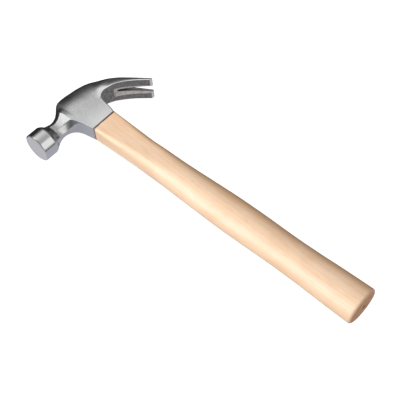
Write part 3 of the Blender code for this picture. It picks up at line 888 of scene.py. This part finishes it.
def claw_line(first_y, count):
    """Inner-face points from first_y past the tips, each with the way to the outer face."""
    claw_rows = [row[0:2] + row[6:8] for row in body_rows[CLAW_FIRST_ROW:]]
    rows = spline(claw_rows, [ROW_STEPS] * (len(claw_rows) - 1))
    out = []
    for k in range(count + 1):
        y = lerp(first_y, TIP_AT, k / count)
        for before, after in zip(rows, rows[1:]):
            if before[1] <= y <= after[1]:
                share = (y - before[1]) / (after[1] - before[1])
                x, _, outer_x, outer_y = mix(before, after, share)
                out.append((x, y, Vector((outer_x - x, outer_y - y))))
                break
    (x0, y0, _), (x1, y1, through) = out[-2:]
    step = Vector((x1 - x0, y1 - y0)).normalized() * 4.0
    out.append((x1 + step.x, y1 + step.y, through))
    return out


def claw_ring(x, y, through, corners):
    """Corners given as depth through the claw and z, placed at x, y."""
    way = through.normalized()
    return [(x + way.x * depth, y + way.y * depth, z) for depth, z in corners]


def slot_cutter():
    """The nail slot: a V right through the claws, open at the tips, with a rounded root."""
    line = claw_line(SLOT_FROM, 36)
    (x0, y0, root_through), (x1, y1, _) = line[:2]
    rings = []

    def add_ring(x, y, through, width):
        near, far = -5, through.length + 5
        corners = ((near, -width), (near, width), (far, width), (far, -width))
        rings.append(claw_ring(x, y, through, corners))

    for k in range(6):  # round root
        angle = math.radians(90 * k / 6)
        share = SLOT_ROOT * (1 - math.cos(angle)) / max(0.1, math.hypot(x1 - x0, y1 - y0))
        width = max(0.12, SLOT_ROOT * math.sin(angle))
        add_ring(lerp(x0, x1, share), lerp(y0, y1, share), root_through, width)
    for x, y, through in line:
        if math.hypot(x - x0, y - y0) >= SLOT_ROOT * 1.05:
            share = min(1.1, (y - SLOT_FROM) / (TIP_AT - SLOT_FROM))
            add_ring(x, y, through, lerp(SLOT_ROOT, SLOT_TIP, share))
    return make_object("slot_cutter", skin(rings), (FORGED,))


def groove_cutter():
    """Shallow V along the claws' inner face, which bevels the slot and starts abruptly."""
    rings = []
    rise = 3.0  # how far the cutter stands out of the face
    for i, (x, y, through) in enumerate(claw_line(GROOVE_FROM, 40)):
        half, depth = GROOVE_HALF, GROOVE_DEPTH
        if i == 0:
            half, depth = GROOVE_HALF - 0.8, GROOVE_DEPTH * 0.5
        top = half + rise * half / depth
        rings.append(claw_ring(x, y, through, ((-rise, -top), (-rise, top), (depth, 0.0))))
    return make_object("groove_cutter", skin(rings), (GROUND,))


head = head_surface()
cut_all(head, [eye_cutter(), groove_cutter(), slot_cutter()])

# ---------------------------------------------------------------- handle
# x, middle y, half size in y, half size in z, corner radius
grip_rows = [
    (FIT_GAP, 0.25, 13.55, 8.75, 1.4),
    (2.0, 0.25, 13.6, 8.8, 1.8),
    (14.0, 0.25, 13.6, 9.1, 3.2),
    (26.0, 0.2, 13.5, 9.5, 4.6),
    (38.0, 0.1, 13.4, 9.9, 5.8),
    (50.0, 0.0, 13.4, 10.3, 6.9),
    (66.0, 0.0, 13.65, 10.9, 7.6),
    (84.0, -0.1, 14.3, 11.4, 9.0),
    (104.0, -0.2, 15.2, 11.9, 10.6),
    (128.0, -0.2, 16.1, 12.2, 11.7),
    (152.0, -0.2, 16.75, 12.4, 12.2),
    (180.0, -0.2, 16.65, 12.3, 12.2),
    (212.0, -0.4, 16.1, 12.1, 12.0),
    (236.0, -0.55, 16.35, 12.3, 12.2),
    (262.0, -0.7, 17.2, 12.7, 12.6),
    (HANDLE_END - BUTT_ROUND, -0.9, 17.8, 13.0, 12.9),
]


def oval_section(x, middle, half_y, half_z, corner):
    """From a rounded rectangle (small corner) to an oval (corner equal to half_z)."""
    share = smooth(0.6, 1.0, corner / half_z)
    ring = []
    for _, y, z in rounded_section(x, half_y, half_z, corner):
        angle = math.atan2(z / half_z, y / half_y)
        oval_y, oval_z = half_y * math.cos(angle), half_z * math.sin(angle)
        ring.append((x, middle + lerp(y, oval_y, share), lerp(z, oval_z, share)))
    return ring


def tongue_section(x, shift=0.0, gap=FIT_GAP):
    half_y, half_z = eye_half_sizes(x)
    return rounded_section(x, half_y - gap, half_z - gap, 3.4, shift=shift)


def grip_section(*row):
    """An oval section that, near the head, thickens towards +Y as the cheeks do."""
    return [
        (x, y, z * (1 + 0.045 * (1 - smooth(0.0, 60.0, x)) * y / 13.3))
        for x, y, z in oval_section(*row)
    ]


def handle_surface():
    # the tongue, its end bevelled
    rings = [
        tongue_section(-50.3, CROWN_TILT, FIT_GAP + 0.35),
        tongue_section(-50.0, CROWN_TILT, FIT_GAP + 0.06),
    ]
    rings += [tongue_section(lerp(-49.0, FIT_GAP, k / 14)) for k in range(15)]
    # the shoulder's rounded edge, then the grip
    x, middle, half_y, half_z, _ = grip_rows[0]
    rings.append(grip_section(x, middle, half_y - 0.35, half_z - 0.35, 1.1))
    rings.append(grip_section(x + 0.1, middle, half_y - 0.1, half_z - 0.1, 1.3))
    rows = spline(grip_rows, [4, 6] + [8] * (len(grip_rows) - 3))
    rings += [grip_section(*row) for row in rows if row[0] >= x + 0.3]
    # the butt's rounding
    x, middle, *sizes = grip_rows[-1]
    for k in range(1, 11):
        angle = math.radians(90 * k / 10)
        shrink = 1.55 * BUTT_ROUND * (1 - math.cos(angle))
        shrunk = [size - shrink for size in sizes]
        rings.append(oval_section(x + BUTT_ROUND * math.sin(angle), middle, *shrunk))
    return make_object("handle_surface", skin(rings), (HANDLE_WOOD,), HANDLE_SHARP)


def taper_block(x_top, x_bottom, half_y, half_z, tilt=0.0, y_mid=0.0, bevel=0.0):
    """A block that tapers from the crown down into the eye, with rounded edges."""
    bm = bmesh.new()
    bmesh.ops.create_cube(bm, size=2.0)
    for vert in bm.verts:
        end = 0 if vert.co.x < 0 else 1
        y = vert.co.y * half_y[end]
        z = vert.co.z * half_z[end]
        x = (x_top + tilt * y) if end == 0 else x_bottom
        vert.co = world(x, y + y_mid, z)
    if bevel:
        bmesh.ops.bevel(
            bm,
            geom=[edge for edge in bm.edges if edge.calc_face_angle(0) > math.radians(30)],
            offset=bevel * MM,
            segments=3,
            profile=0.5,
            affect="EDGES",
            clamp_overlap=True,
        )
    return bm


def steel_top(y_mid):
    return STEEL_TOP_X + CROWN_TILT * y_mid


def pocket(name, y_mid):
    """Cutter for the room round a steel wedge."""
    block = taper_block(
        CUT_ABOVE_X,
        steel_top(y_mid) + STEEL_LENGTH + FIT_GAP,
        half_y=(STEEL_HALF_Y[0] + FIT_GAP + 0.2, STEEL_HALF_Y[1] + FIT_GAP),
        half_z=(STEEL_HALF_Z[0] + FIT_GAP, STEEL_HALF_Z[1] + FIT_GAP),
        y_mid=y_mid,
    )
    return make_object(name, block, (HANDLE_WOOD,))


def kerf_cutter():
    block = taper_block(CUT_ABOVE_X, WOOD_TOP_X + KERF_DEPTH, KERF_HALF_Y, KERF_HALF_Z)
    return make_object("kerf_cutter", block, (HANDLE_WOOD,))


def centre_mark():
    """Small cone left by the lathe centre in the butt."""
    profile = [(3.0, CENTRE_MARK_R * 3.0), (0.0, CENTRE_MARK_R), (-CENTRE_MARK_DEPTH, 0.15)]
    angles = [2 * math.pi * k / 40 for k in range(40)]
    rings = [
        [(HANDLE_END + dx, radius * math.cos(a), radius * math.sin(a)) for a in angles]
        for dx, radius in profile
    ]
    return make_object("centre_mark_cutter", skin(rings), (HANDLE_WOOD,))


def wood_wedge():
    block = taper_block(
        WOOD_TOP_X,
        WOOD_TOP_X + WEDGE_LENGTH,
        WEDGE_HALF_Y,
        WEDGE_HALF_Z,
        tilt=CROWN_TILT,
        bevel=0.18,
    )
    return make_object("wood_wedge_surface", block, (WEDGE_WOOD,))


def steel_wedge(end, y_mid):
    top = steel_top(y_mid)
    block = taper_block(
        top, top + STEEL_LENGTH, STEEL_HALF_Y, STEEL_HALF_Z, CROWN_TILT, y_mid, bevel=0.2
    )
    # the driven end is a little mushroomed and uneven
    for vert in block.verts:
        depth = (vert.co.x - ZERO.x) / MM - top
        if depth < MUSHROOM_DEPTH:
            swell = 1 - depth / MUSHROOM_DEPTH
            lump = noise.noise(vert.co * MUSHROOM_GRAIN)
            vert.co.x += MUSHROOM_HEIGHT * MM * lump * swell
    return make_object("steel_wedge_%s_surface" % end, block, (WEDGE_STEEL,))


handle = handle_surface()
handle_cutters = [kerf_cutter(), centre_mark(), pocket("p1", -STEEL_Y), pocket("p2", STEEL_Y)]
cut_all(handle, handle_cutters, HANDLE_SHARP)
wooden = wood_wedge()
cut_all(wooden, [pocket("p3", -STEEL_Y), pocket("p4", STEEL_Y)])
steel_front = steel_wedge("front", -STEEL_Y)
steel_rear = steel_wedge("rear", STEEL_Y)

# ---------------------------------------------------------------- riding on the frame
for piece, node_name, slot_name in (
    (head, "hammer_head", "forged_steel"),
    (handle, "handle", "handle_wood"),
    (wooden, "wood_wedge", "wedge_wood"),
    (steel_front, "steel_wedge_front", "wedge_steel"),
    (steel_rear, "steel_wedge_rear", "wedge_steel"),
):
    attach(piece, "root")
    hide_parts(node_name)

# ---------------------------------------------------------------- studio, metres
FLOOR_HALF, FLOOR_GAP = 4.0, 0.0002


def floor_material():
    """White to the camera, a warmer grey in the light it throws back."""
    material = bpy.data.materials.new("floor_white")
    material.use_nodes = True
    graph = Graph(material.node_tree)
    ray = graph.node("ShaderNodeLightPath")
    diffuse = Value(graph, ray.outputs["Is Diffuse Ray"])
    camera_ray = Value(graph, ray.outputs["Is Camera Ray"])
    inputs = {
        "Roughness": 0.9,
        "Specular IOR Level": 0.1,
        "Base Color": graph.blend((0.94, 0.94, 0.945), (0.80, 0.77, 0.74), diffuse),
        "Emission Color": (1.0, 1.0, 1.0, 1.0),
        "Emission Strength": camera_ray * 0.86,
    }
    graph.fill(material.node_tree.nodes["Principled BSDF"], inputs)
    return material


def make_floor():
    bm = bmesh.new()
    bmesh.ops.create_grid(bm, x_segments=1, y_segments=1, size=FLOOR_HALF)
    for vert in bm.verts:
        vert.co.z = head_lo.z - FLOOR_GAP
    return make_object("floor", bm, (floor_material(),))


floor = make_floor()
floor.visible_glossy = False
handle.visible_glossy = False


def area_light(name, towards, distance, width, height, radiance, aim):
    """A soft box facing aim from the direction towards. radiance is how bright it looks."""
    light = bpy.data.lights.new(name, "AREA")
    light.shape = "RECTANGLE"
    light.size, light.size_y = width, height
    light.energy = radiance * math.pi * width * height
    obj = bpy.data.objects.new(name, light)
    direction = Vector(towards).normalized()
    obj.location = Vector(aim) + direction * distance
    obj.rotation_mode = "QUATERNION"
    obj.rotation_quaternion = direction.to_track_quat("Z", "Y")
    obj.visible_camera = False
    bpy.context.scene.collection.objects.link(obj)
    return obj


def light_only(light, name, pieces):
    receivers = bpy.data.collections.new(name)
    for piece in pieces:
        receivers.objects.link(piece)
    light.light_linking.receiver_collection = receivers


key = area_light(
    "key_softbox",
    towards=(0.82, 0.30, 0.46),
    distance=1.4,
    width=1.05,
    height=1.45,
    radiance=0.66,
    aim=(0.06, 0.06, 0.0),
)
fill = area_light(
    "handle_softbox",
    towards=(-0.34, -0.68, 0.65),
    distance=1.6,
    width=1.3,
    height=1.5,
    radiance=4.6,
    aim=(0.21, 0.06, 0.0),
)
light_only(fill, "lit_by_handle_softbox", (handle, wooden))
light_only(key, "lit_by_key_softbox", (head, steel_front, steel_rear))


def upper_room(graph, direction, away):
    """Brightness above the horizon. away is how far a direction points from the camera."""
    x, y, z = direction.split()
    away = away(direction)
    # the far side brightens in three stages with height
    tone = z.span(over=(0.0, 0.42), to=(0.05, 0.135)) + z.span(over=(0.42, 0.63), to=(0.0, 0.24))
    tone = tone + z.span(over=(0.63, 0.77), to=(0.0, 0.43))
    # a darker upright band far out on -X
    band = (y - 0.315).math("ABSOLUTE").step(start=0.12, end=0.04)
    tone = tone * (1.0 - band * x.step(start=-0.72, end=-0.90) * 0.65)
    tone = graph.blend(grey(0.60), graph.vec(tone, tone, tone), away.step(start=0.0, end=0.35))
    # a bright soft light high on -X, and a paler strip on +Y
    box = y.step(start=0.37, end=0.16) * x.step(start=-0.12, end=-0.34)
    tone = tone.blend(grey(1.6), box * z.step(start=0.58, end=0.76))
    strip = y.step(start=0.44, end=0.54) * z.step(start=0.36, end=0.58)
    tone = tone.blend(grey(0.72), strip * away.step(start=0.0, end=0.35))
    # a dark patch round the camera
    camera_side = direction.dot((0.13, -0.52, 0.84)).step(start=0.62, end=1.04)
    return tone.blend(grey(0.165), camera_side), away, (x, z)


def table_tone(graph, direction, away, z):
    """A cool grey table, dark on the far side but for one patch underneath."""
    near_horizon = z.step(start=-0.28, end=-0.08)
    tone = graph.blend((0.60, 0.60, 0.67), (0.40, 0.40, 0.43), near_horizon)
    tone = tone.blend((0.035, 0.035, 0.037), away.step(start=0.32, end=0.62))
    patch = direction.dot((-0.5, 0.3, -0.81)).step(start=0.93, end=0.985)
    return tone.blend((0.40, 0.40, 0.43), patch)


def make_sky():
    """The rest of the studio, painted by direction; the camera itself sees white."""
    sky = bpy.data.worlds.new("studio")
    sky.use_nodes = True
    bpy.context.scene.world = sky
    graph = Graph(sky.node_tree)
    direction = graph.value("ShaderNodeTexCoord", output="Generated")
    tone, away, (x, z) = upper_room(graph, direction, lambda d: d.dot((-0.80, 0.60, 0.0)))
    table = table_tone(graph, direction, away, z)
    room = graph.blend(tone, table, z.step(start=0.01, end=-0.02))
    # diffuse surfaces are lit less from the far side, so the wood's upper edge falls off
    dim = away.span(over=(-0.6, 0.6), to=(0.0, 0.55))
    diffuse = graph.value("ShaderNodeLightPath", output="Is Diffuse Ray")
    room = room.blend(grey(0.0), diffuse * dim)
    # a dark horizon on +X
    level = z.math("ABSOLUTE")
    horizon = x.step(start=0.78, end=0.90) * level.step(start=0.22, end=0.06)
    room = room.blend(grey(0.07), horizon)
    seen = graph.value("ShaderNodeLightPath", output="Is Camera Ray")
    inputs = {"Color": room.blend(grey(1.0), seen), "Strength": 1.0}
    graph.fill(sky.node_tree.nodes["Background"], inputs)


make_sky()

# ---------------------------------------------------------------- camera
EYE_POINT = Vector((0.44552, -0.23434, 0.59170))
BACK = Vector((0.40643, -0.39945, 0.82174)).normalized()  # from the scene to the camera
ROLL = math.radians(-4.77)


def make_camera():
    level = Vector((0, 0, 1)).cross(BACK).normalized()
    upright = BACK.cross(level)
    right = level * math.cos(ROLL) + upright * math.sin(ROLL)
    up = upright * math.cos(ROLL) - level * math.sin(ROLL)
    camera = bpy.data.objects.new("camera", bpy.data.cameras.new("camera"))
    camera.data.sensor_width = 36.0
    camera.data.lens = 75.0
    camera.data.clip_start, camera.data.clip_end = 0.01, 20.0
    axes = Matrix((right, up, BACK)).transposed()
    camera.matrix_world = Matrix.Translation(EYE_POINT) @ axes.to_4x4()
    bpy.context.scene.collection.objects.link(camera)
    bpy.context.scene.camera = camera


make_camera()
bpy.context.scene.view_settings.view_transform = "Standard"

bpy.context.view_layer.update()
